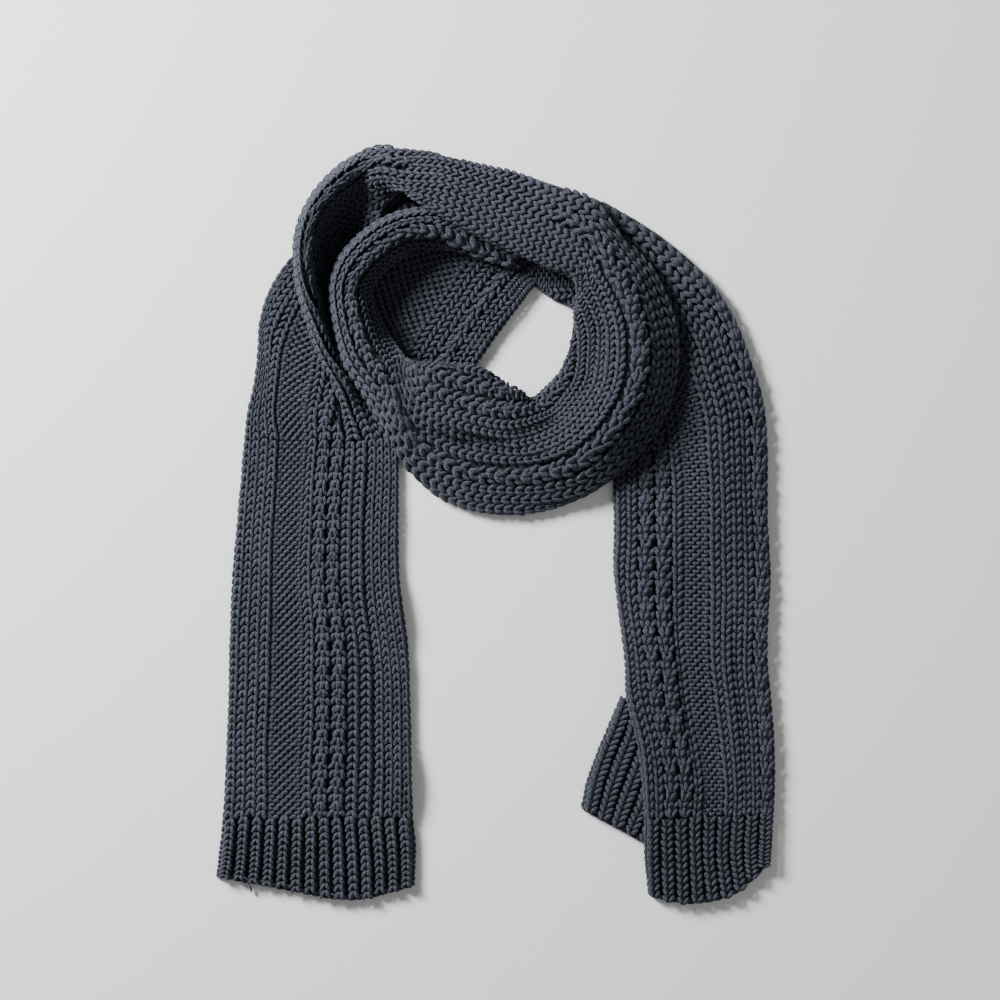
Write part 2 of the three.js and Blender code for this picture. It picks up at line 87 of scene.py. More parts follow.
print("parts on a tail:", len(TAIL_KNIT), "and ribs in a hem:", len(HEM_LEFT_KNIT))

# %% [markdown]
# The way the strip lies. Each row is one section across the cloth, and its columns are points on
# the upper face from the left edge to the right edge. A short table like this is drawn faster than
# a simulation can wind a scarf, and it puts every fold where it belongs.

# %% Sections
EDGES = ("left", "right")
ACROSS = ("left", "in_left", "in_right", "right")


def table(columns, *rows):
    """Rows of values, each value under the name of its column."""
    return [dict(zip(columns, row)) for row in rows]


def sections(*rows):
    """Rows of points across the cloth: its edges, or its edges and two points between them."""
    return [dict(zip(ACROSS if len(row) > len(EDGES) else EDGES, row)) for row in rows]


TAIL_LEFT = sections(
    ((-209, -264), (-160, -273), (-108, -281), (-62, -271)),
    ((-206, -240), (-61, -242)),
    ((-204, -220), (-63, -220)),
    ((-202, -185), (-64, -185)),
    ((-200, -137), (-65, -137)),
    ((-199, -89), (-67, -89)),
    ((-197, -41), (-73, -41)),
    ((-193, 6), (-74, 6)),
    ((-190, 40), (-74, 40)),
    ((-188, 63), (-74, 63)),
)

TAIL_FOLD = sections(
    ((-188, 63.3), (-163, 63.3), (-138, 63.3), (-113.5, 63.3)),
    ((-186, 82), (-168, 82), (-144, 82), (-116.5, 82)),
    ((-181, 106), (-169, 105), (-145, 103), (-117, 100)),
    ((-178, 130), (-170, 129), (-150, 127), (-129, 123)),
    ((-177, 150), (-171, 149), (-153, 147), (-137, 143)),
    ((-171, 171), (-166, 170), (-153, 167), (-141, 164)),
    ((-162, 188), (-158, 187), (-150, 184), (-143, 182)),
    ((-152, 201), (-150, 200), (-147, 196), (-144, 194)),
)

LOOP = sections(
    ((-113, 63.3), (-93, 63.3), (-84, 63.3), (-74, 63.3)),
    ((-115, 82, 6), (-104, 84, 9), (-94, 86), (-84, 88)),
    ((-119, 101, OVER), (-113, 104, 16), (-106, 107), (-97, 111)),
    ((-131, 126, OVER), (-126, 129, 21), (-119, 132, 5), (-110, 136)),
    ((-140, 150, OVER), (-134, 153, 26), (-126, 156, 5), (-114, 159)),
    ((-146, 172, OVER), (-140, 173, 30), (-130, 174, 5), (-115, 176)),
    ((-149, 193, OVER), (-143, 192, 32), (-132, 190, 6), (-111, 188)),
    ((-149, 213, 10), (-142, 211, 32), (-131, 206, 6), (-106, 197)),
    ((-143, 235), (-136, 230, 32), (-126, 222, 6), (-101, 204)),
    ((-132, 253), (-126, 246, 31), (-117, 236, 8), (-95, 214)),
    ((-114, 270), (-110, 261, 29), (-104, 249, 13), (-86, 229, 12)),
    ((-90, 282), (-90, 272, 20), (-90, 261, 28), (-78, 244, 12)),
    ((-64, 280), (-66, 268, 20), (-68, 255, 33), (-66, 245, 36)),
    ((-37, 276), (-38, 261, 20), (-40, 246, 33), (-42, 231, 38)),
    ((-10, 269), (-9, 251, 19), (-9, 233, 31), (-10, 214, 36)),
    ((16, 263, 7), (17, 242, 20), (16, 222, 30), (15, 202, 33)),
    ((45, 253, OVER), (44, 231, 23), (41, 210, 30), (38, 191, 30)),
    ((74, 241, OVER), (70, 219, 25), (65, 199, 30), (59, 181, 26)),
    ((98, 211, OVER), (87, 199, 27), (74, 185, 30), (60, 170, 21)),
    ((119, 186, OVER), (101, 178, 28), (79, 168, 29), (58, 158, 17)),
    ((133, 155, 15), (108, 152, 29), (82, 149, 27), (57, 144, 15)),
    ((136, 122, 15), (109, 124, 30), (80, 127, 25), (54, 128, 14)),
    ((130, 92, 14), (103, 98, 30), (75, 106, 24), (48, 115, 14)),
    ((117, 66, OVER), (90, 77, 29), (63, 91, 22), (38, 104, 14)),
    ((96, 41, OVER), (72, 59, 27), (48, 78, 19), (27, 95, 16)),
    ((70, 22, 8), (52, 48, 22), (34, 73, 21), (18, 98, 20)),
    ((37, 10), (25, 41, 17), (14, 72, 24), (4, 108, 25)),
    ((7, 7), (0, 42, 15), (-7, 78, 24), (-14, 117, 28)),
    ((-20, 11), (-24, 46, 14), (-29, 82, 24), (-33, 119, 29)),
    ((-44, 21), (-45, 55, 15), (-47, 88, 26), (-49, 120, 28)),
    ((-63, 37, 8), (-61, 66, 18), (-60, 94, 28), (-60, 121, 26)),
    ((-76, 56, OVER), (-72, 79, 24), (-69, 101, 30), (-66, 124, 25)),
    ((-88, 79, OVER), (-82, 95, 28), (-77, 112, 32), (-72, 130, 22)),
    ((-99, 98, OVER), (-92, 109, 31), (-84, 121, 33), (-77, 137, 18)),
    ((-111, 117, OVER), (-103, 124, 33), (-92, 132, 33), (-81, 143, 15)),
    ((-118, 138, OVER), (-110, 142, 34), (-98, 147, 33), (-86, 153, OVER)),
    ((-122, 159, OVER), (-114, 160, 34), (-102, 162, 33), (-89, 164, OVER)),
    ((-123, 180, OVER), (-115, 178, 34), (-104, 175, 32), (-91, 173, OVER)),
    ((-117, 197, OVER), (-110, 192, 34), (-100, 185, 32), (-89, 179, OVER)),
    ((-106, 211, OVER), (-101, 204, 33), (-92, 195, 31), (-83, 187, OVER)),
    ((-91, 223, OVER), (-87, 216, 32), (-80, 206, 30), (-74, 196, OVER)),
    ((-74, 231, OVER), (-71, 224, 30), (-66, 215, 28), (-60, 203, OVER)),
    ((-52, 235, OVER), (-50, 228, 26), (-46, 218, 26), (-41, 205, OVER)),
    ((-30, 232, OVER), (-28, 226, 20), (-24, 214, 22), (-20, 200, OVER)),
    ((-8, 225, OVER), (-5, 218, 16), (-2, 207, 18), (1, 195, OVER)),
    ((12, 218, OVER), (14, 211, 13), (16, 201, 13), (18, 190, OVER)),
)

RING_FLOOR = sections(
    ((-66, 112), (-24, 108)),
    ((-86, 146), (-16, 119)),
    ((-97, 176), (-4, 136)),
    ((-88, 208), (9, 154)),
    ((-84, 234), (19, 167)),
    ((-50, 258), (25, 175)),
    ((16.3, 240), (28.8, 179)),
)

SHOULDER = sections(
    ((17, 243), (29.5, 179)),
    ((48, 248), (41, 170)),
    ((74, 243), (57, 162)),
    ((101, 229), (66, 151)),
    ((128, 211), (70, 137)),
    ((156, 186), (128, 163, 8), (100, 143), (72, 122)),
    ((176, 158), (148, 140, 8), (110, 122), (75, 104)),
    ((190, 124), (154, 112, 9), (117, 98), (79, 84)),
    ((200, 91), (163, 83, 9), (124, 73), (84, 62)),
    ((203, 53), (166, 50, 9), (127, 46), (88, 41)),
    ((203, 5), (166, 5, 8), (128, 4), (89, 3)),
    ((205, -42), (89, -36)),
    ((203, -75), (93, -70)),
    ((203, -106), (168, -105), (132, -104, 6), (97, -103, 7)),
    ((206, -137), (171, -136), (135, -134, 7), (98.5, -128, OVER)),
    ((208, -172), (175, -171), (141, -169, 7), (107, -166, OVER)),
    ((208, -200), (176, -200), (144, -200, 7), (111, -200, OVER)),
    ((207, -218), (175, -219), (143, -220, 7), (112, -221, OVER)),
    ((206, -238), (174, -246), (144, -250, 7), (112, -247, 11)),
    ((205, -254), (178, -277), (146, -284), (115, -279)),
)

FLAP = sections(
    ((104, -139), (94, -129)),
    ((110, -162), (86, -148)),
    ((114, -186), (77, -169)),
    ((117, -214), (69, -191)),
    ((116, -241), (64, -213)),
)
print("sections in the loop:", len(LOOP))

# %% [markdown]
# Cloth that is handled never lies smooth. These soft troughs and swellings run along the strip: the
# rows between which each lies, its place across the cloth where it starts and ends (0 is the left
# edge and 1 the right edge), its half width as a share of the cloth, and its height.

# %% Creases
CREASE = ("start", "end", "start_at", "end_at", "half", "rise")
TAIL_LEFT_CREASES = table(
    CREASE,
    (2, 9, 0.79, 0.81, 0.03, -2.2),
    (2.2, 3.6, 0.95, 0.96, 0.05, 4.5),
    (2.2, 3.6, 0.87, 0.88, 0.035, -2.4),
    (5, 6.2, 0.95, 0.95, 0.06, 4),
    (5, 6.4, 0.88, 0.87, 0.03, -2),
    (2.5, 7, 0.56, 0.5, 0.08, 1.6),
)

LOOP_CREASES = table(
    CREASE,
    (17, 24, 0.46, 0.5, 0.16, 3),
    (18, 24, 0.74, 0.72, 0.05, -1.8),
    (23, 27, 0.8, 0.94, 0.06, -1.6),
    (24, 31, 0.66, 0.72, 0.12, 2.5),
    (25, 30, 0.5, 0.44, 0.05, -1.8),
    (33, 42, 0.5, 0.5, 0.05, -2),
    (23, 30.6, 0.74, 0.34, 0.045, -1.8),
    (23, 30.6, 0.86, 0.47, 0.07, 1.8),
    (24, 28.4, 0.22, 0.6, 0.05, -1.6),
    (24, 28.4, 0.36, 0.72, 0.06, 1.4),
)

SHOULDER_CREASES = table(
    CREASE,
    (4, 10, 0.2, 0.16, 0.06, -1.8),
    (10, 17, 0.63, 0.62, 0.03, -2),
    (11, 16.5, 0.34, 0.28, 0.07, 1.8),
)
print("creases:", len(TAIL_LEFT_CREASES) + len(LOOP_CREASES) + len(SHOULDER_CREASES))

# %% [markdown]
# On its edge or half under another layer, the strip shows only part of its width. A knitted column
# keeps its own width all the same, so these tables say which millimetres of the chart show at a
# row. The other columns run out at the side, where they're tucked under.

# %% What shows
SHOWN = ("row", "start", "end")
TAIL_FOLD_SHOWN = table(
    SHOWN,
    (0, 0, 94.5),
    (2, 0, 81),
    (4, 0, 52),
    (7, 0, 14),
)

LOOP_SHOWN = table(
    SHOWN,
    (0, 0, 39),
    (2, 0, 32),
    (4, 0, 51),
    (8, 0, 90),
    (9, 0, 87),
    (10, 2, 78),
    (11, 8, 67),
    (12, 15, 65),
    (13, 20, 78),
    (16, 12, 78),
    (18, 4, 68),
    (19, 0, 76),
    (23, 0, 95),
    (25, 6, 101),
    (27, 0, 114),
    (29, 2, 106),
    (30, 6, 94),
    (32, 0, 63),
    (39, 0, 59),
    (42, 0, 47),
    (45, 0, 29),
)

RING_FLOOR_SHOWN = table(
    SHOWN,
    (0, 79, 121),
    (1, 46, 121),
    (2, 20, 121),
    (4, 0, 121),
    (5, 9, 121),
    (6, 59, 121),
)

SHOULDER_SHOWN = table(
    SHOWN,
    (0, 0, 63),
    (2, 0, 80),
    (3, 0, 83),
    (7, 0, 115.5),
    (10, 0, 115.5),
)

FLAP_SHOWN = table(
    SHOWN,
    (0, 46, 60),
    (4, 0, 60),
)
print("the loop shows up to", max(s["end"] for s in LOOP_SHOWN), "mm of its chart")

# %% [markdown]
# Between the rows the cloth runs in smooth curves. A Catmull-Rom curve passes through its points,
# so a row of the table is where the cloth really goes. Its knots are spaced by the square root of
# the distance, which keeps tight turns free of loops.

# %% Face of the cloth
LINES = {"left": 0.0, "in_left": 1 / 3, "in_right": 2 / 3, "right": 1.0}
STEP = 1e-3
PLACES_A_ROW = 40


def point(values):
    return np.array(list(values) + [FLAT] * (3 - len(values)), dtype=float)


def between(p0, p1, p2, p3, w):
    """A point from p1 to p2 on the curve through all four."""
    d0, d1, d2 = (np.maximum(np.linalg.norm(b - a, axis=-1, keepdims=True), STEP) ** 0.5
                  for a, b in ((p0, p1), (p1, p2), (p2, p3)))
    m1 = ((p1 - p0) / d0 - (p2 - p0) / (d0 + d1) + (p2 - p1) / d1) * d1
    m2 = ((p2 - p1) / d1 - (p3 - p1) / (d1 + d2) + (p3 - p2) / d2) * d1
    return p1 + m1 * w + (3 * (p2 - p1) - 2 * m1 - m2) * w**2 + (2 * (p1 - p2) + m1 + m2) * w**3


def with_ends(points):
    """The points with one more at either end, which carries the curve straight on."""
    return np.concatenate([2 * points[:1] - points[1:2], points, 2 * points[-1:] - points[-2:-1]])


class Run:
    """A run of cloth: along goes from 0 to its last row, across from 0 to 1. begin is the length
    of knitting before it."""

    def __init__(self, rows, creases=(), begin=0.0):
        self.last = len(rows) - 1
        self.creases = creases
        self.lines = []
        for name, share in LINES.items():
            ends = [(point(row["left"]), point(row["right"])) for row in rows]
            straight = [a + (b - a) * share for a, b in ends]
            line = [point(row[name]) if name in row else s for row, s in zip(rows, straight)]
            self.lines.append(with_ends(np.array(line)))
        self.places = np.linspace(0, self.last, self.last * PLACES_A_ROW + 1)
        middle = self.face(self.places, np.full_like(self.places, 0.5))
        steps = np.linalg.norm(np.diff(middle, axis=0), axis=1)
        self.lengths = begin + np.concatenate([[0], np.cumsum(steps)])

    def face(self, along, across):
        i = np.clip(np.floor(along).astype(int), 0, self.last - 1)
        w = (along - i)[:, None]
        section = np.stack([between(p[i], p[i + 1], p[i + 2], p[i + 3], w) for p in self.lines])
        section = with_ends(section)
        j = np.clip(np.floor(across * 3).astype(int), 0, 2)
        n = np.arange(len(along))
        w = (across * 3 - j)[:, None]
        return between(section[j, n], section[j + 1, n], section[j + 2, n], section[j + 3, n], w)

    def ends(self, along):
        """The two ends of a section."""
        return self.face(np.full(2, along), np.array([0.0, 1.0]))

    def directions(self, along, across):
        """The directions along the cloth, across it and out of it."""
        back, ahead = np.clip(along - STEP, 0, None), np.clip(along + STEP, None, self.last)
        left, right = np.clip(across - STEP, 0, None), np.clip(across + STEP, None, 1)
        lengthways = unit(self.face(ahead, across) - self.face(back, across))
        sideways = unit(self.face(along, right) - self.face(along, left))
        return lengthways, sideways, unit(np.cross(sideways, lengthways))

    def length(self, along):
        return np.interp(along, self.places, self.lengths)

    def place(self, length):
        return np.interp(length, self.lengths, self.places)

    def crease(self, along, across):
        rise = np.zeros_like(along)
        for c in self.creases:
            share = np.clip((along - c["start"]) / (c["end"] - c["start"]), 0, 1)
            middle = c["start_at"] + (c["end_at"] - c["start_at"]) * share
            rise += c["rise"] * np.sin(np.pi * share) * np.exp(-((across - middle) / c["half"]) ** 2)
        return rise


def unit(vectors):
    return vectors / np.maximum(np.linalg.norm(vectors, axis=-1, keepdims=True), 1e-12)


tail_left_run = Run(TAIL_LEFT, TAIL_LEFT_CREASES)
tail_fold_run = Run(TAIL_FOLD, begin=tail_left_run.lengths[-1])
loop_run = Run(LOOP, LOOP_CREASES)
ring_floor_run = Run(RING_FLOOR)
shoulder_run = Run(SHOULDER, SHOULDER_CREASES)
flap_run = Run(FLAP)
print("the loop's cloth is", round(loop_run.lengths[-1]), "mm long")

# %% [markdown]
# The stretches that show, each with the run that it is part of, its first and last row, the
# knitting on its upper side and the stretch that it lies over, if any. They have the names of the
# solids that they stand for. Two hems and a folded corner end in a cast edge.

# %% Stretches
loop_part = dict(run=loop_run, knit=LOOP_KNIT, shown=LOOP_SHOWN)
floor_part = dict(run=ring_floor_run, knit=FLOOR_KNIT, shown=RING_FLOOR_SHOWN)
shoulder_part = dict(run=shoulder_run, knit=TAIL_RIGHT_KNIT, shown=SHOULDER_SHOWN)
STRETCHES = [
    dict(name="hem_left", run=tail_left_run, start=0, end=2, knit=HEM_LEFT_KNIT, cast="start",
         loose_end=dict(at=(-184.5, -272, 2.5), aside=(1, 0.3, 0), long=9.0, thick=3.5)),
    dict(name="tail_left", run=tail_left_run, start=2, end=9, knit=TAIL_KNIT),
    dict(name="tail_fold", run=tail_fold_run, start=0, end=7, knit=TAIL_KNIT, shown=TAIL_FOLD_SHOWN),
    dict(name="outer_turn", **loop_part, start=0, end=12, over="tail_fold"),
    dict(name="top_band", **{**loop_part, "knit": TOP_KNIT}, start=12, end=16, over="inner_ring"),
    dict(name="right_band", **loop_part, start=16, end=23, over="shoulder_right"),
    dict(name="front_band", **loop_part, start=23, end=30, over="ring_floor"),
    dict(name="inner_ring", **loop_part, start=30, end=45, over="ring_floor"),
    dict(name="ring_floor", **floor_part, start=0, end=6),
    dict(name="shoulder_right", **shoulder_part, start=0, end=10),
    dict(name="tail_right", run=shoulder_run, start=10, end=17, knit=TAIL_RIGHT_KNIT,
         over="flap_right"),
    dict(name="hem_right", run=shoulder_run, start=17, end=19, knit=HEM_RIGHT_KNIT, cast="end"),
    dict(name="flap_right", run=flap_run, start=0, end=4, knit=FLAP_KNIT, shown=FLAP_SHOWN, cast="end"),
]
print(len(STRETCHES), "stretches of one knitted strip")

# %% [markdown]
# Two things are read from the tables again and again: which millimetres of the chart show at a
# place along a stretch, and where each part of the chart starts and ends.

# %% Reading the tables
def shown_at(stretch, along):
    """The millimetres of the chart that show at places along: where they start and end."""
    whole = sum(part["width"] for part in stretch["knit"])
    table = stretch.get("shown", [dict(row=0, start=0, end=whole)])
    rows = [entry["row"] for entry in table]
    return [np.interp(along, rows, [entry[name] for entry in table]) for name in ("start", "end")]


def parts_of(knit):
    """The parts of a chart with where each starts and ends on it."""
    stops = np.concatenate([[0], np.cumsum([part["width"] for part in knit])])
    return [(part["kind"], a, b) for part, a, b in zip(knit, stops[:-1], stops[1:])]


for stretch in STRETCHES:
    seen = [round(float(place)) for place in shown_at(stretch, stretch["start"])]
    print(stretch["name"], "starts with the chart's millimetres", seen)

# %% [markdown]
# How high the knitting stands at a place. A rib is a smooth ridge. A cable is two strands that
# swing from side to side and take turns in front, so its height is the higher of two moving humps.
# Hand-held needles never work evenly, so the columns wander a little from side to side and the
# cloth swells here and there, both in slow waves.

# %% Relief
STRAND_SWING = 0.2
STRAND_HALF = 0.24
STRAND_SIDE = 3
FRONT_SHARE, TURN_SHARE = 0.75, 0.25
WANDER = 0.9
WANDER_WAVES = (dict(along=31, across=37, share=1), dict(along=12, across=19, share=0.4))
SWELL = 0.5
SWELL_WAVES = (dict(along=26, across=30), dict(along=41, across=-22))
EDGE = 4.0
EDGE_DROP = 1.3


def strands(length):
    """The two strands of a cable: their places across it (0 to 1) and their heights (0 to 1)."""
    turn = 2 * np.pi * length / CABLE_TURN
    return [(0.5 + side * STRAND_SWING * np.sin(turn), FRONT_SHARE + side * TURN_SHARE * np.cos(turn))
            for side in (1, -1)]


def wave(length, at, along, across):
    return np.sin(length / along + at / across)


def wander(length, at):
    """How far a column strays from its place on the chart."""
    return WANDER * sum(w["share"] * wave(length, at, w["along"], w["across"]) for w in WANDER_WAVES)


def knitting_height(kind, w, length):
    """The height of one part of the chart at shares w of its width."""
    hump = np.sin(np.pi * w)
    if kind == "cable":
        humps = [tall * np.exp(-((w - middle) / STRAND_HALF) ** 2) for middle, tall in strands(length)]
        hump = np.maximum(*humps) * np.minimum(1, STRAND_SIDE * hump)
    return RISE[kind] * hump - GROOVE.get(kind, 0) * (1 - np.sin(np.pi * w)) ** 2


def relief(stretch, along, across):
    """The height of the knitting over the face of the cloth, in millimetres."""
    run = stretch["run"]
    length = run.length(along)
    first, last = shown_at(stretch, along)
    at = first + (last - first) * across
    placed = at - wander(length, at)
    parts = parts_of(stretch["knit"])
    rise = np.zeros_like(across)
    for number, (kind, a, b) in enumerate(parts):
        low = -np.inf if number == 0 else a
        high = np.inf if number == len(parts) - 1 else b
        inside = (placed >= low) & (placed < high)
        w = np.clip((placed[inside] - a) / (b - a), 0, 1)
        rise[inside] = knitting_height(kind, w, length[inside])
    slow, slower = (wave(length, at, **size) for size in SWELL_WAVES)
    to_edge = np.minimum(across, 1 - across) * (last - first)
    drop = EDGE_DROP * np.clip(1 - to_edge / EDGE, 0, 1) ** 2
    return rise + SWELL * slow * slower + run.crease(along, across) - drop


heights = relief(STRETCHES[1], np.full(200, 5.0), np.linspace(0, 1, 200))
print("across the left tail the knitting stands", heights.min().round(1), "to", heights.max().round(1), "mm")

# %% [markdown]
# Yarn. Charcoal yarn is not one grey: each fibre takes the dye a little differently, and a soft
# nap of loose fibres catches light that grazes it. One node group gives that heather colour and
# the fine bumps of the fibres, and each material places it with values of its own.

# %% Heather yarn
FIBRE_RANGE = (0.42, 0.6)
FIBRE_SHARE, PATCH_SHARE = 0.7, 0.3
FIBRE_DETAIL, PATCH_DETAIL = 4.0, 2.0


def new_group(name, inputs, outputs):
    group = bpy.data.node_groups.new(name, "ShaderNodeTree")
    for label, kind, value in inputs:
        socket = group.interface.new_socket(label, in_out="INPUT", socket_type=kind)
        socket.default_value = value
    for label, kind in outputs:
        group.interface.new_socket(label, in_out="OUTPUT", socket_type=kind)
    return group, group.nodes.new("NodeGroupInput"), group.nodes.new("NodeGroupOutput")


def math_node(tree, operation, *values):
    """What a Math node gives for its values, each a number or a socket."""
    node = tree.nodes.new("ShaderNodeMath")
    node.operation = operation
    for socket, value in zip(node.inputs, values):
        if isinstance(value, bpy.types.NodeSocket):
            tree.links.new(value, socket)
        else:
            socket.default_value = value
    return node.outputs["Value"]


def noise(tree, vector, scale, detail):
    node = tree.nodes.new("ShaderNodeTexNoise")
    node.inputs["Detail"].default_value = detail
    tree.links.new(scale, node.inputs["Scale"])
    tree.links.new(vector, node.inputs["Vector"])
    return node.outputs["Fac"]


def heather_group():
    group, entry, leave = new_group(
        "heather_yarn",
        [("Dark", "NodeSocketColor", (0.02, 0.024, 0.03, 1)),
         ("Light", "NodeSocketColor", (0.08, 0.09, 0.11, 1)),
         ("Fibre scale", "NodeSocketFloat", 900.0),
         ("Patch scale", "NodeSocketFloat", 14.0),
         ("Ply", "NodeSocketFloat", 0.0)],
        [("Color", "NodeSocketColor"), ("Height", "NodeSocketFloat")])
    links = group.links
    where = group.nodes.new("ShaderNodeTexCoord").outputs["Object"]
    fibre = noise(group, where, entry.outputs["Fibre scale"], FIBRE_DETAIL)
    patch = noise(group, where, entry.outputs["Patch scale"], PATCH_DETAIL)
    spread = group.nodes.new("ShaderNodeMapRange")
    spread.inputs["From Min"].default_value, spread.inputs["From Max"].default_value = FIBRE_RANGE
    links.new(fibre, spread.inputs["Value"])
    soft = math_node(group, "MULTIPLY", patch, PATCH_SHARE)
    # The ply height adds painted shade: darker in the grooves of the twist, lighter on its ridges.
    patch_and_ply_shade = math_node(group, "ADD", soft, entry.outputs["Ply"])
    mix = group.nodes.new("ShaderNodeMix")
    mix.data_type = "RGBA"
    links.new(math_node(group, "MULTIPLY_ADD", spread.outputs["Result"], FIBRE_SHARE, patch_and_ply_shade),
              mix.inputs["Factor"])
    links.new(entry.outputs["Dark"], mix.inputs["A"])
    links.new(entry.outputs["Light"], mix.inputs["B"])
    links.new(mix.outputs["Result"], leave.inputs["Color"])
    links.new(fibre, leave.inputs["Height"])
    return group


heather = heather_group()
print("group", heather.name, "has", len(heather.nodes), "nodes")

# %% [markdown]
# Yarn is plied: thin strands are twisted together and show as slanting stripes along each stitch,
# as bumps and as painted shade, darker in the grooves between the plies and lighter on their ridges.
# The stitches carry a map whose first value runs along the yarn and whose second runs round it, so
# a stripe that winds is the sum of the two.

# %% Plied yarn
def ply_group():
    group, entry, leave = new_group(
        "ply_twist",
        [("Turns", "NodeSocketFloat", 1.3), ("Ply share", "NodeSocketFloat", 0.25)],
        [("Height", "NodeSocketFloat")])
    uv = group.nodes.new("ShaderNodeUVMap")
    uv.uv_map = "yarn"
    split = group.nodes.new("ShaderNodeSeparateXYZ")
    group.links.new(uv.outputs["UV"], split.inputs["Vector"])
    twist = math_node(group, "MULTIPLY_ADD", split.outputs["X"], entry.outputs["Turns"], split.outputs["Y"])
    height = math_node(group, "PINGPONG", twist, entry.outputs["Ply share"])
    group.links.new(height, leave.inputs["Height"])
    return group


ply = ply_group()
print("group", ply.name, "has", len(ply.nodes), "nodes")

# %% [markdown]
# Two materials come from these groups: the twisted yarn of the stitches, and the cloth that shows
# between them, whose darker colour is painted shade in the gaps. Wool is matt, with a faint sheen
# from its nap, which Sheen on the shader gives.

# %% Yarn materials
YARN_FINISH = {"Roughness": 0.88, "Specular IOR Level": 0.25, "Sheen Weight": 0.14,
               "Sheen Roughness": 0.45, "Sheen Tint": (0.88, 0.92, 1.0, 1)}
FUZZ = dict(strength=0.9, depth=0.0009)
PLIES = dict(strength=0.5, depth=0.0016)
DARK = (0.006, 0.0075, 0.011, 1)
STITCH_LIGHT = (0.056, 0.064, 0.09, 1)
# The cloth's yarn is kept much darker than the stitches' as painted shade in the gaps between them.
PAINTED_SHADE_CLOTH_LIGHT = (0.02, 0.023, 0.031, 1)


def bump(tree, height, strength, depth, normal=None):
    node = tree.nodes.new("ShaderNodeBump")
    node.inputs["Strength"].default_value = strength
    node.inputs["Distance"].default_value = depth
    tree.links.new(height, node.inputs["Height"])
    if normal:
        tree.links.new(normal, node.inputs["Normal"])
    return node.outputs["Normal"]


def yarn_material(name, light, twisted):
    material = bpy.data.materials.new(name)
    material.use_nodes = True
    tree = material.node_tree
    shader = tree.nodes["Principled BSDF"]
    for label, value in YARN_FINISH.items():
        shader.inputs[label].default_value = value
    colour = tree.nodes.new("ShaderNodeGroup")
    colour.node_tree = heather
    colour.inputs["Dark"].default_value = DARK
    colour.inputs["Light"].default_value = light
    tree.links.new(colour.outputs["Color"], shader.inputs["Base Color"])
    normal = bump(tree, colour.outputs["Height"], **FUZZ)
    if twisted:
        plied = tree.nodes.new("ShaderNodeGroup")
        plied.node_tree = ply
        # The twist's height also goes into the colour as painted shade in the grooves between the plies.
        tree.links.new(plied.outputs["Height"], colour.inputs["Ply"])
        normal = bump(tree, plied.outputs["Height"], **PLIES, normal=normal)
    tree.links.new(normal, shader.inputs["Normal"])
    return material


stitch_yarn = yarn_material("stitch_yarn", STITCH_LIGHT, True)
# The cloth's darker yarn is painted shade between the loops.
cloth_yarn = yarn_material("cloth_yarn", PAINTED_SHADE_CLOTH_LIGHT, False)
print("materials:", stitch_yarn.name, "and", cloth_yarn.name)

# %% [markdown]
# The cloth under the stitches. It is a closed thin shell: an upper face with the ribs, cables and
# creases, a plain underside a wall's thickness below, and the edges that join them. It stays just
# under the stitches, and its darker yarn is painted shade in the gaps between the loops.

# %% Cloth shells
SINK = 0.9
CLOTH_STEP = 3.0
CLOTH_COLUMN = 1.4


def grid_faces(rows, columns, offset, flipped):
    first = np.arange((rows - 1) * columns).reshape(rows - 1, columns)[:, :-1].ravel() + offset
    quads = np.stack([first, first + 1, first + columns + 1, first + columns], axis=1)
    return quads[:, ::-1] if flipped else quads


def rim_faces(rows, columns):
    """The faces that join the edges of two grids, one after the other in the list of points."""
    rim = list(range(columns)) + [r * columns + columns - 1 for r in range(1, rows)]
    rim += [(rows - 1) * columns + c for c in range(columns - 2, -1, -1)]
    rim = np.array(rim + [r * columns for r in range(rows - 2, 0, -1)])
    ahead = np.roll(rim, -1)
    return np.stack([ahead, rim, rim + rows * columns, ahead + rows * columns], axis=1)


def new_piece(name, points, faces, material, smooth=True):
    mesh = bpy.data.meshes.new(name)
    mesh.from_pydata((np.asarray(points) * METRE).tolist(), [], [list(map(int, f)) for f in faces])
    mesh.materials.append(material)
    if smooth:
        mesh.polygons.foreach_set("use_smooth", [True] * len(mesh.polygons))
    mesh.update()
    piece = bpy.data.objects.new(name, mesh)
    bpy.context.scene.collection.objects.link(piece)
    return piece


def cloth_shell(stretch):
    run = stretch["run"]
    start, end = run.length(stretch["start"]), run.length(stretch["end"])
    rows = max(3, int((end - start) / CLOTH_STEP))
    along = run.place(np.linspace(start, end, rows))
    first, last = shown_at(stretch, along)
    columns = int(np.max(last - first) / CLOTH_COLUMN)
    across = np.linspace(0, 1, columns)
    a, v = (grid.ravel() for grid in np.meshgrid(along, across, indexing="ij"))
    face = run.face(a, v)
    out = run.directions(a, v)[2]
    upper = face + out * (relief(stretch, a, v) - SINK)[:, None]
    under = face - out * WALL
    under[:, 2] = np.maximum(under[:, 2], 0)
    faces = [grid_faces(rows, columns, 0, False), grid_faces(rows, columns, len(face), True),
             rim_faces(rows, columns)]
    return new_piece(stretch["name"] + "_cloth", np.vstack([upper, under]), np.vstack(faces), cloth_yarn)


print("a cloth has a section every", CLOTH_STEP, "mm and a column every", CLOTH_COLUMN, "mm")

# %% [markdown]
# One stitch. A knit stitch shows as a V: two legs of yarn, thick in the middle, that dive into the
# stitch below. A wide one has slimmer legs, since the yarn stays as thick as it is. A purl stitch
# shows as a single bump that lies across. All are spindles with few sides, because thousands of
# them are set, and smooth shading rounds them. Their sizes are shares of a stitch.

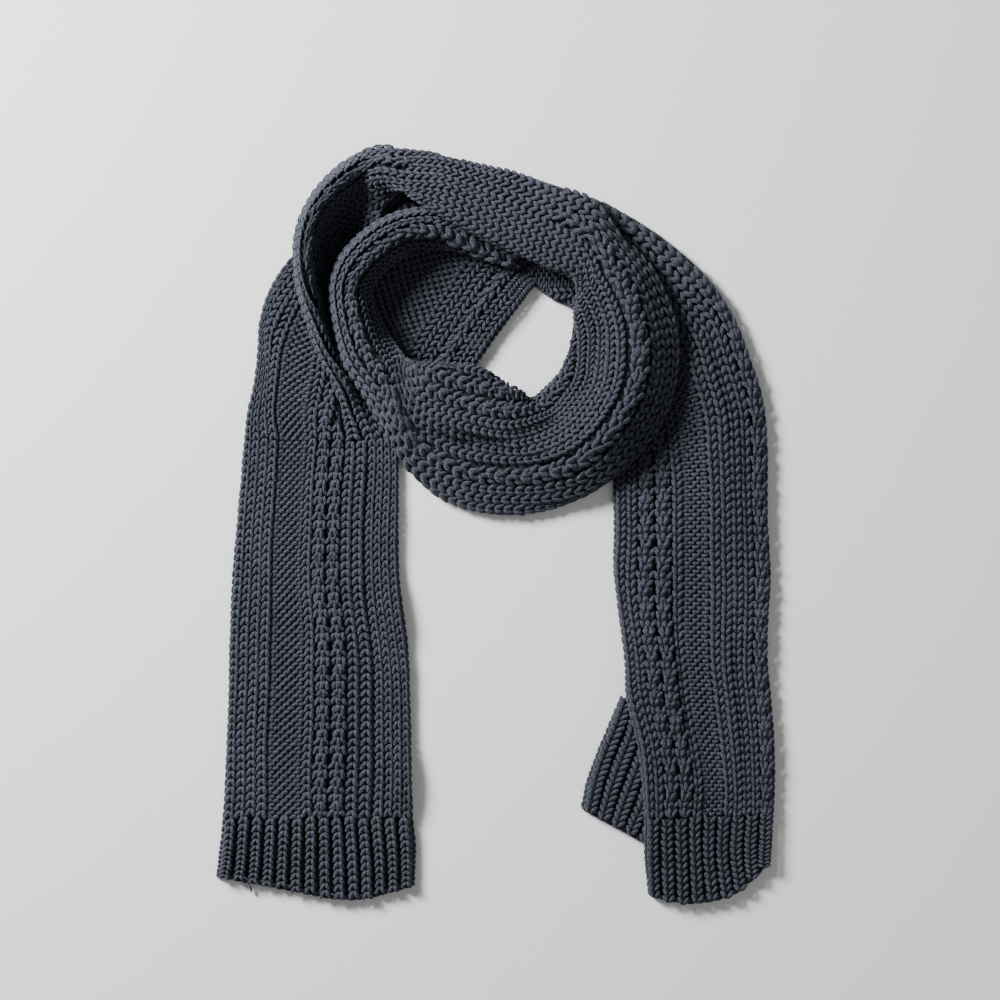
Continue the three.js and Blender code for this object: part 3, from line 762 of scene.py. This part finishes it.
# %% Stitch shapes
SIDES = 6
RINGS = (0.1, 0.37, 0.63, 0.9)
HEADING_STEP = 0.05
LEG_FOOT, LEG_LEAN, LEG_REACH = 0.44, 0.4, 0.6
LEG_ARCH, ARCH_FROM, ARCH_SPAN = 0.32, 0.96, 0.88
LEG_THICK, WIDE_LEG_THICK = 0.235, 0.185
BUMP_REACH, BUMP_BOW, BUMP_ARCH, BUMP_SINK = 0.42, 0.3, 0.55, 0.2
BUMP_END, BUMP_SWELL = 0.14, 0.13


def spindle(path, radius):
    """Points, faces and yarn coordinates of a closed spindle round a path from 0 to 1."""
    points = [path(0.0)]
    for t in RINGS:
        middle = np.array(path(t))
        heading = unit(np.array(path(t + HEADING_STEP)) - np.array(path(t - HEADING_STEP)))
        side = unit(np.cross(heading, (0, 0, 1)))
        up = np.cross(side, heading)
        for k in range(SIDES):
            angle = 2 * math.pi * k / SIDES
            points.append(middle + radius(t) * (side * math.cos(angle) + up * math.sin(angle)))
    points.append(path(1.0))
    tip, top = len(points) - 1, len(RINGS) - 1
    faces, uvs = [], []
    for k in range(SIDES):
        n, u, v = (k + 1) % SIDES, k / SIDES, (k + 1) / SIDES
        faces.append((0, 1 + n, 1 + k))
        uvs.append(((0, u), (RINGS[0], v), (RINGS[0], u)))
        for ring in range(top):
            low, high = 1 + ring * SIDES, 1 + (ring + 1) * SIDES
            faces.append((low + k, low + n, high + n, high + k))
            uvs.append(((RINGS[ring], u), (RINGS[ring], v), (RINGS[ring + 1], v), (RINGS[ring + 1], u)))
        high = 1 + top * SIDES
        faces.append((high + k, high + n, tip))
        uvs.append(((RINGS[top], u), (RINGS[top], v), (1, u)))
    return np.array(points, dtype=float), faces, uvs


def leg(side, thick):
    def path(t):
        arch = LEG_ARCH * math.sin(math.pi * (ARCH_FROM - ARCH_SPAN * t))
        return (side * (LEG_FOOT - LEG_LEAN * t), -LEG_REACH + 2 * LEG_REACH * t, arch - LEG_ARCH / 2)
    return spindle(path, lambda t: thick * (0.5 + 0.5 * math.sin(math.pi * t)))


def purl_bump():
    def path(t):
        arch = 1 - (2 * t - 1) ** 2
        return (-BUMP_REACH + 2 * BUMP_REACH * t, BUMP_BOW * arch - BUMP_BOW / 2,
                BUMP_ARCH * arch - BUMP_SINK)
    return spindle(path, lambda t: BUMP_END + BUMP_SWELL * math.sin(math.pi * t))


def stitch_object(name, spindles):
    points, faces, uvs = [], [], []
    for p, f, uv in spindles:
        faces += [tuple(i + len(points) for i in face) for face in f]
        points += p.tolist()
        uvs += [pair for face in uv for pair in face]
    mesh = bpy.data.meshes.new(name)
    mesh.from_pydata(points, [], faces)
    mesh.polygons.foreach_set("use_smooth", [True] * len(mesh.polygons))
    layer = mesh.uv_layers.new(name="yarn")
    layer.data.foreach_set("uv", [value for pair in uvs for value in pair])
    mesh.update()
    return bpy.data.objects.new(name, mesh)


def triangles_of(piece):
    return sum(len(polygon.vertices) - 2 for polygon in piece.data.polygons)


KNIT, WIDE, PURL = 0, 1, 2
shapes = [stitch_object("knit_stitch", [leg(1, LEG_THICK), leg(-1, LEG_THICK)]),
          stitch_object("wide_stitch", [leg(1, WIDE_LEG_THICK), leg(-1, WIDE_LEG_THICK)]),
          stitch_object("purl_stitch", [purl_bump()])]
for shape in shapes:
    print(shape.name, "has", triangles_of(shape), "triangles")

# %% [markdown]
# Geometry Nodes set a stitch on each point. A point carries its own directions along the column
# and out of the cloth and its own size, so the same tree serves a straight tail and a tight turn.
# A little turn and growth at random, with a fixed seed, makes the knitting look hand made.

# %% Inputs of the stitch tree
SHAPE_LABELS = ("Knit stitch", "Wide stitch", "Purl stitch")
RANDOM_INPUTS = (("Turn", "NodeSocketFloat", 0.08), ("Growth", "NodeSocketFloat", 0.07),
                 ("Seed", "NodeSocketInt", 7))


def new_stitch_tree():
    tree = bpy.data.node_groups.new("set_stitches", "GeometryNodeTree")
    sockets = tree.interface
    sockets.new_socket("Geometry", in_out="INPUT", socket_type="NodeSocketGeometry")
    for label in SHAPE_LABELS:
        sockets.new_socket(label, in_out="INPUT", socket_type="NodeSocketObject")
    for label, kind, value in RANDOM_INPUTS:
        sockets.new_socket(label, in_out="INPUT", socket_type=kind).default_value = value
    sockets.new_socket("Yarn", in_out="INPUT", socket_type="NodeSocketMaterial")
    sockets.new_socket("Geometry", in_out="OUTPUT", socket_type="NodeSocketGeometry")
    return tree, tree.nodes.new("NodeGroupInput"), tree.nodes.new("NodeGroupOutput")


def named(tree, label, kind):
    """The value that each point carries under a name."""
    node = tree.nodes.new("GeometryNodeInputNamedAttribute")
    node.data_type = kind
    node.inputs["Name"].default_value = label
    return node.outputs["Attribute"]


def at_random(tree, amount, seed):
    """A random number from minus the amount to the amount."""
    node = tree.nodes.new("FunctionNodeRandomValue")
    node.data_type = "FLOAT"
    tree.links.new(math_node(tree, "MULTIPLY", amount, -1), node.inputs["Min"])
    tree.links.new(amount, node.inputs["Max"])
    tree.links.new(seed, node.inputs["Seed"])
    return node.outputs["Value"]


print("the stitch tree sets", ", ".join(SHAPE_LABELS))

# %% [markdown]
# The tree turns each point's two directions into a rotation, sets the shape whose number the point
# carries, and makes one plain mesh of them all, in the yarn that it is given.

# %% Stitch tree
TURN_DRAW, GROWTH_DRAW = 1, 2


def stitch_rotation(tree, entry):
    axes = tree.nodes.new("FunctionNodeAxesToRotation")
    axes.primary_axis, axes.secondary_axis = "Z", "Y"
    tree.links.new(named(tree, "out", "FLOAT_VECTOR"), axes.inputs["Primary Axis"])
    tree.links.new(named(tree, "along", "FLOAT_VECTOR"), axes.inputs["Secondary Axis"])
    seed = math_node(tree, "ADD", entry.outputs["Seed"], TURN_DRAW)
    turn = tree.nodes.new("ShaderNodeCombineXYZ")
    tree.links.new(at_random(tree, entry.outputs["Turn"], seed), turn.inputs["Z"])
    to_turn = tree.nodes.new("FunctionNodeEulerToRotation")
    tree.links.new(turn.outputs["Vector"], to_turn.inputs["Euler"])
    rotate = tree.nodes.new("FunctionNodeRotateRotation")
    rotate.rotation_space = "LOCAL"
    tree.links.new(axes.outputs["Rotation"], rotate.inputs["Rotation"])
    tree.links.new(to_turn.outputs["Rotation"], rotate.inputs["Rotate By"])
    return rotate.outputs["Rotation"]


def stitch_size(tree, entry):
    seed = math_node(tree, "ADD", entry.outputs["Seed"], GROWTH_DRAW)
    growth = math_node(tree, "ADD", at_random(tree, entry.outputs["Growth"], seed), 1)
    size = tree.nodes.new("ShaderNodeVectorMath")
    size.operation = "SCALE"
    tree.links.new(named(tree, "size", "FLOAT_VECTOR"), size.inputs["Vector"])
    tree.links.new(growth, size.inputs["Scale"])
    return size.outputs["Vector"]


def stitch_tree():
    tree, entry, leave = new_stitch_tree()
    nodes, links = tree.nodes, tree.links
    rotation, size = stitch_rotation(tree, entry), stitch_size(tree, entry)
    which = named(tree, "shape", "INT")
    join = nodes.new("GeometryNodeJoinGeometry")
    for number, label in enumerate(SHAPE_LABELS):
        shape = nodes.new("GeometryNodeObjectInfo")
        links.new(entry.outputs[label], shape.inputs["Object"])
        chosen = nodes.new("FunctionNodeCompare")
        chosen.data_type, chosen.operation = "INT", "EQUAL"
        a, b = (next(i for i in chosen.inputs if i.name == name and i.type == "INT") for name in "AB")
        links.new(which, a)
        b.default_value = number
        setter = nodes.new("GeometryNodeInstanceOnPoints")
        links.new(entry.outputs["Geometry"], setter.inputs["Points"])
        links.new(chosen.outputs["Result"], setter.inputs["Selection"])
        links.new(shape.outputs["Geometry"], setter.inputs["Instance"])
        links.new(rotation, setter.inputs["Rotation"])
        links.new(size, setter.inputs["Scale"])
        links.new(setter.outputs["Instances"], join.inputs["Geometry"])
    realize = nodes.new("GeometryNodeRealizeInstances")
    links.new(join.outputs["Geometry"], realize.inputs["Geometry"])
    colour = nodes.new("GeometryNodeSetMaterial")
    links.new(realize.outputs["Geometry"], colour.inputs["Geometry"])
    links.new(entry.outputs["Yarn"], colour.inputs["Material"])
    links.new(colour.outputs["Geometry"], leave.inputs["Geometry"])
    return tree


def set_input(modifier, label, value):
    for item in modifier.node_group.interface.items_tree:
        if item.item_type == "SOCKET" and item.in_out == "INPUT" and item.name == label:
            modifier[item.identifier] = value


stitch_nodes = stitch_tree()
print("tree", stitch_nodes.name, "has", len(stitch_nodes.nodes), "nodes")

# %% [markdown]
# Each part of the chart gives one or more columns. On a cable the columns follow the two strands,
# and on the purl panel the bumps of one row lie between those of the next, as they do on the back
# of plain knitting. A fill says how much of its part a column takes up.

# %% Rows and columns
CABLE_FILL = 0.64
VALLEY_FILL = 1.7
HEM_FILL = {"hem_left": 0.76, "hem_right": 0.86, "flap_right": 0.86}
PURL_INSET = 0.25


def rows_of(stretch):
    """The middle of each row, in millimetres of knitting, and the height of a row."""
    start, end = (stretch["run"].length(stretch[name]) for name in ("start", "end"))
    rows = max(2, round((end - start) / (HEM_ROW if "cast" in stretch else ROW)))
    pitch = (end - start) / rows
    return start + pitch * (np.arange(rows) + 0.5), pitch


def columns_of(stretch, length):
    """The columns of a stretch on its chart: place, width and kind, for each row."""
    ones = np.ones_like(length)
    for kind, a, b in parts_of(stretch["knit"]):
        width = b - a
        if kind == "cable":
            for middle, _ in strands(length):
                yield a + width * middle, width * CABLE_FILL, "knit"
        elif kind == "purl":
            count = max(1, round(width / PURL_COLUMN))
            for k in range(count):
                yield ones * (a + width * (k + 0.5) / count), width / count, "purl"
            for k in range(count + 1):
                inset = PURL_INSET if k == 0 else -PURL_INSET if k == count else 0
                yield ones * (a + width * (k + inset) / count), width / count, "half"
        else:
            fill = VALLEY_FILL if kind == "valley" else HEM_FILL.get(stretch["name"], 1)
            yield ones * (a + b) / 2, width * fill, "knit"


print("rows on the left tail:", len(rows_of(STRETCHES[1])[0]))

# %% [markdown]
# Where the stitches of a column go. Each is measured on the cloth itself, from the middle of the
# row before to the middle of the next and from side to side, so it stretches with the cloth round
# a bend. A stitch that is mostly tucked under at the side is left out.

# %% Stitches in the columns
STITCH_LIFT = -0.3
DEPTH = 0.6
WIDEST = 8.0
WIDE_FROM = 1.5
LEAST = 0.6
STAGGER = 0.2


def batch(at, along, out, wide, tall, shape):
    """Stitches together: where they lie, their directions, sizes and shapes."""
    size = np.stack([wide, tall, DEPTH * np.minimum(wide, WIDEST)], axis=1)
    return dict(at=at, along=along, out=out, size=size, shape=shape * np.ones(len(at), dtype=int))


def column_stitches(stretch):
    run = stretch["run"]
    middles, pitch = rows_of(stretch)
    for at, width, kind in columns_of(stretch, middles):
        shift = {"half": -0.5, "purl": 0, "knit": STAGGER * np.sin(at.mean())}[kind]
        length = middles + shift * pitch
        along = run.place(length)
        first, last = shown_at(stretch, along)
        at = at + wander(length, at)
        low, high = np.maximum(at - width / 2, first), np.minimum(at + width / 2, last)
        across, share = ((low + high) / 2 - first) / (last - first), (high - low) / (last - first)
        slope = np.gradient(across, length) * pitch / 2
        seen = high - low > LEAST * width
        if not seen.any():
            continue
        along, across, share, slope, length = (v[seen] for v in (along, across, share, slope, length))
        reach = [np.clip(length + side * pitch / 2, run.lengths[0], run.lengths[-1]) for side in (-1, 1)]
        back, ahead = (run.face(run.place(there), np.clip(across + side * slope, 0, 1))
                       for side, there in zip((-1, 1), reach))
        left, right = (run.face(along, np.clip(across + side * share / 2, 0, 1)) for side in (-1, 1))
        out = run.directions(along, across)[2]
        lift = relief(stretch, along, across) + STITCH_LIFT
        wide, tall = (np.linalg.norm(span, axis=1) for span in (right - left, ahead - back))
        tall = tall * pitch / (reach[1] - reach[0])
        shape = np.where(wide > WIDE_FROM * tall, WIDE, KNIT) if kind == "knit" else PURL
        yield batch(run.face(along, across) + out * lift[:, None], unit(ahead - back), out, wide, tall,
                    shape)


print("columns on the left tail:", len(list(column_stitches(STRETCHES[1]))))

# %% [markdown]
# Along the selvedges and the cast ends one more line of stitches wraps the edge, turned halfway
# between up and outwards, as the last column of real knitting curls. The photographed scarf also
# has one loose yarn end at its left hem.

# %% Stitches round the edges
EDGE_WIDTH = 6.0
EDGE_INSET = 1.4
EDGE_DEPTH = 1.2
CAST_PITCH = 6.5


def selvedge_stitches(stretch):
    run = stretch["run"]
    middles, pitch = rows_of(stretch)
    bounds = np.append(middles - pitch / 2, run.length(stretch["end"]))
    for edge, side in ((0.0, -1), (1.0, 1)):
        along, across = run.place(middles), np.full(len(middles), edge)
        lengthways, _, out = run.directions(along, across)
        outward = side * unit(np.cross(lengthways, out))
        at = run.face(along, across) - outward * EDGE_INSET
        at += out * (run.crease(along, across) - EDGE_DEPTH)[:, None]
        ends = run.face(run.place(bounds), np.full(len(bounds), edge))
        tall = np.linalg.norm(np.diff(ends, axis=0), axis=1)
        yield batch(at, lengthways, unit(outward + out), np.full(len(at), EDGE_WIDTH), tall, KNIT)


def cast_stitches(stretch):
    run = stretch["run"]
    row = float(stretch[stretch["cast"]])
    side = 1 if stretch["cast"] == "end" else -1
    left, right = run.ends(row)
    count = round(np.linalg.norm(right - left) / CAST_PITCH)
    along, across = np.full(count, row), (np.arange(count) + 0.5) / count
    _, sideways, out = run.directions(along, across)
    outward = side * unit(np.cross(out, sideways))
    at = run.face(along, across) - outward * EDGE_INSET - out * EDGE_DEPTH
    return batch(at, sideways, unit(outward + out), np.full(count, EDGE_WIDTH),
                 np.full(count, CAST_PITCH), KNIT)


def loose_stitch(stretch):
    end = stretch["loose_end"]
    along, up = np.array([unit(point(end["aside"]))]), np.array([[0.0, 0.0, 1.0]])
    return batch(np.array([point(end["at"])]), along, up, np.array([end["long"]]),
                 np.array([end["thick"]]), PURL)


def stitch_points(stretch):
    """All stitches of a stretch, in one batch."""
    batches = [*column_stitches(stretch), *selvedge_stitches(stretch)]
    if "cast" in stretch:
        batches.append(cast_stitches(stretch))
    if "loose_end" in stretch:
        batches.append(loose_stitch(stretch))
    return {name: np.concatenate([found[name] for found in batches]) for name in batches[0]}


print("stitches on the left hem:", len(stitch_points(STRETCHES[0])["at"]))

# %% [markdown]
# The batch becomes a mesh of points with the values as attributes, the tree sets the stitches on
# it, and the evaluated result is kept as a plain mesh.

# %% Setting the stitches
def points_with_values(name, found):
    mesh = bpy.data.meshes.new(name)
    mesh.from_pydata((found["at"] * METRE).tolist(), [], [])
    for label, unit_size in (("along", 1), ("out", 1), ("size", METRE)):
        attribute = mesh.attributes.new(label, "FLOAT_VECTOR", "POINT")
        attribute.data.foreach_set("vector", (found[label] * unit_size).astype(np.float32).ravel())
    attribute = mesh.attributes.new("shape", "INT", "POINT")
    attribute.data.foreach_set("value", found["shape"])
    return mesh


def stitches(stretch):
    found = stitch_points(stretch)
    mesh = points_with_values(stretch["name"] + "_points", found)
    holder = bpy.data.objects.new(mesh.name, mesh)
    bpy.context.scene.collection.objects.link(holder)
    modifier = holder.modifiers.new("stitches", "NODES")
    modifier.node_group = stitch_nodes
    for label, value in zip(SHAPE_LABELS, shapes):
        set_input(modifier, label, value)
    set_input(modifier, "Yarn", stitch_yarn)
    graph = bpy.context.evaluated_depsgraph_get()
    made = bpy.data.meshes.new_from_object(holder.evaluated_get(graph))
    made.name = stretch["name"] + "_stitches"
    bpy.data.objects.remove(holder)
    bpy.data.meshes.remove(mesh)
    piece = bpy.data.objects.new(made.name, made)
    bpy.context.scene.collection.objects.link(piece)
    return piece, len(found["at"])


print("values on a point:", ", ".join(stitch_points(STRETCHES[0])))

# %% [markdown]
# Each stretch is now made: its cloth, its stitches, and the lines that tie both to the frame. The
# flat size of a stretch is what of the cloth shows there: its mean width and its length. The name of
# what it rests on, the floor or the stretch that its row in the table names, is worked out but not used.

# %% Make the stretches
FLAT_ROWS, FLAT_COLUMNS = 20, 30


def flat_size(stretch):
    along = np.linspace(stretch["start"], stretch["end"], FLAT_ROWS)
    across = np.linspace(0, 1, FLAT_COLUMNS)
    a, v = (grid.ravel() for grid in np.meshgrid(along, across, indexing="ij"))
    points = stretch["run"].face(a, v).reshape(FLAT_ROWS, FLAT_COLUMNS, 3)
    width = np.linalg.norm(np.diff(points, axis=1), axis=2).sum(axis=1).mean()
    length = np.linalg.norm(np.diff(points, axis=0), axis=2).sum(axis=0).mean()
    return width * METRE, length * METRE


triangles = 0
for stretch in STRETCHES:
    cloth = cloth_shell(stretch)
    yarn, count = stitches(stretch)
    for piece in (cloth, yarn):
        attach(piece, "root")
        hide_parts(stretch["name"])
    below = stretch["over"] + "_cloth" if "over" in stretch else "floor"
    flat = flat_size(stretch)
    triangles += triangles_of(cloth) + triangles_of(yarn)
    print(stretch["name"], "has", count, "stitches and lies flat in", [round(side, 3) for side in flat])
for shape in shapes:
    bpy.data.objects.remove(shape)
print(triangles, "triangles in all")

# %% [markdown]
# The studio: a plain pale floor under the scarf, a soft light from the upper left as in a window,
# a weaker one from the right so that no side falls black, and a pale world.

# %% Studio
FLOOR_SIZE = 6.0
FLOOR_DROP = 0.0004
FLOOR_GREY = 0.93
FLOOR_ROUGHNESS = 0.9
LIGHTS = [
    dict(name="window_light", place=(-1.5, 1.1, 1.05), size=0.6, power=135),
    dict(name="fill_light", place=(1.6, -0.9, 1.8), size=2.0, power=9),
]
WORLD_STRENGTH = 0.17


def floor_material():
    material = bpy.data.materials.new("pale_floor")
    material.use_nodes = True
    shader = material.node_tree.nodes["Principled BSDF"]
    shader.inputs["Base Color"].default_value = (FLOOR_GREY, FLOOR_GREY, FLOOR_GREY, 1)
    shader.inputs["Roughness"].default_value = FLOOR_ROUGHNESS
    return material


def add_floor():
    half = FLOOR_SIZE / 2 / METRE
    drop = -FLOOR_DROP / METRE
    corners = [(-half, -half, drop), (half, -half, drop), (half, half, drop), (-half, half, drop)]
    floor = new_piece("floor", corners, [(0, 1, 2, 3)], floor_material(), smooth=False)


def add_light(name, place, size, power):
    data = bpy.data.lights.new(name, "AREA")
    data.size = size
    data.energy = power
    light = bpy.data.objects.new(name, data)
    light.location = place
    light.rotation_euler = (-Vector(place)).to_track_quat("-Z", "Y").to_euler()
    bpy.context.scene.collection.objects.link(light)


add_floor()
for light in LIGHTS:
    add_light(**light)
world = bpy.data.worlds.new("studio")
world.use_nodes = True
world.node_tree.nodes["Background"].inputs["Color"].default_value = (1, 1, 1, 1)
world.node_tree.nodes["Background"].inputs["Strength"].default_value = WORLD_STRENGTH
bpy.context.scene.world = world
print("lights:", [light["name"] for light in LIGHTS])

# %% [markdown]
# The camera looks straight down, as the photograph does. It stands far off with a long lens, so
# that the heap of the loop isn't drawn wider than the tails.

# %% Camera
VIEW_WIDTH = 0.75
VIEW_CENTRE = (0.003, 0.018)
LENS = 150.0
SENSOR = 36.0

camera_data = bpy.data.cameras.new("camera")
camera_data.lens = LENS
camera_data.sensor_width = SENSOR
camera = bpy.data.objects.new("camera", camera_data)
camera.location = (*VIEW_CENTRE, VIEW_WIDTH * LENS / SENSOR)
bpy.context.scene.collection.objects.link(camera)
bpy.context.scene.camera = camera
print("camera height in metres:", round(camera.location.z, 3))
